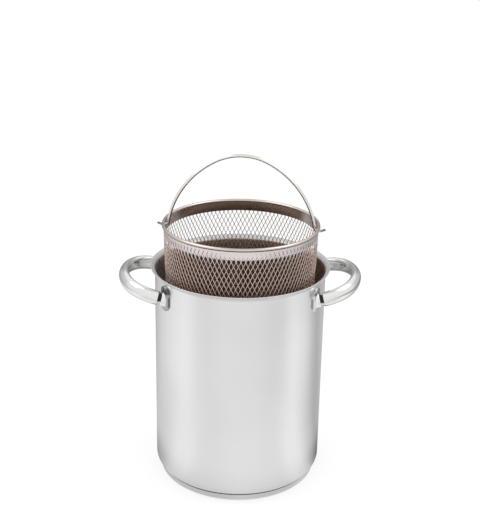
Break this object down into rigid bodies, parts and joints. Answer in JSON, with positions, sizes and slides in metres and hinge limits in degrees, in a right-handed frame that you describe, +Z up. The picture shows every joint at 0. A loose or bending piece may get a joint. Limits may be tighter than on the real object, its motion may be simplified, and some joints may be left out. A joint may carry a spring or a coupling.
{
  "type": "pasta pot with strainer insert",
  "caption": "Tall stainless cooking pot with two loop handles and a lift-out mesh strainer basket that has a folding wire bail.",
  "frame": {"origin": "on the surface the pot stands on, on the pot's axis", "axes": "+Z up along the pot's axis, +X towards the right handle, -Y towards the viewer of the picture"},
  "size_m": [0.2296, 0.1698, 0.319],
  "materials": {
    "pot_steel": "satin brushed stainless steel",
    "core_aluminium": "plain rolled aluminium, sealed inside the base",
    "cap_steel": "satin stainless steel",
    "handle_steel": "mirror-polished stainless steel",
    "basket_steel": "expanded and rolled stainless steel, lightly polished",
    "wire_steel": "bright drawn stainless wire"
  },
  "bodies": {
    "pot": {"pot_body": "pot_steel", "base_core": "core_aluminium", "base_cap": "cap_steel", "handle_left": "handle_steel", "handle_right": "handle_steel", "foot_left_front": "handle_steel", "foot_left_back": "handle_steel", "foot_right_front": "handle_steel", "foot_right_back": "handle_steel"},
    "basket": {"basket_rim": "wire_steel", "basket_band": "basket_steel", "basket_wall": "basket_steel", "basket_floor": "basket_steel", "basket_foot": "basket_steel"},
    "bail": {"bail": "wire_steel"}
  },
  "joints": [
    {"name": "basket_lift", "type": "slide", "parent": "pot", "child": "basket", "axis": [0, 0, 1], "range_m": [-0.0492, 0.165]},
    {"name": "bail_hinge", "type": "hinge", "parent": "basket", "child": "bail", "pos_m": [0, 0, 0.2485], "axis": [0.9945, -0.1045, 0], "range_deg": [-90, 90]}
  ]
}
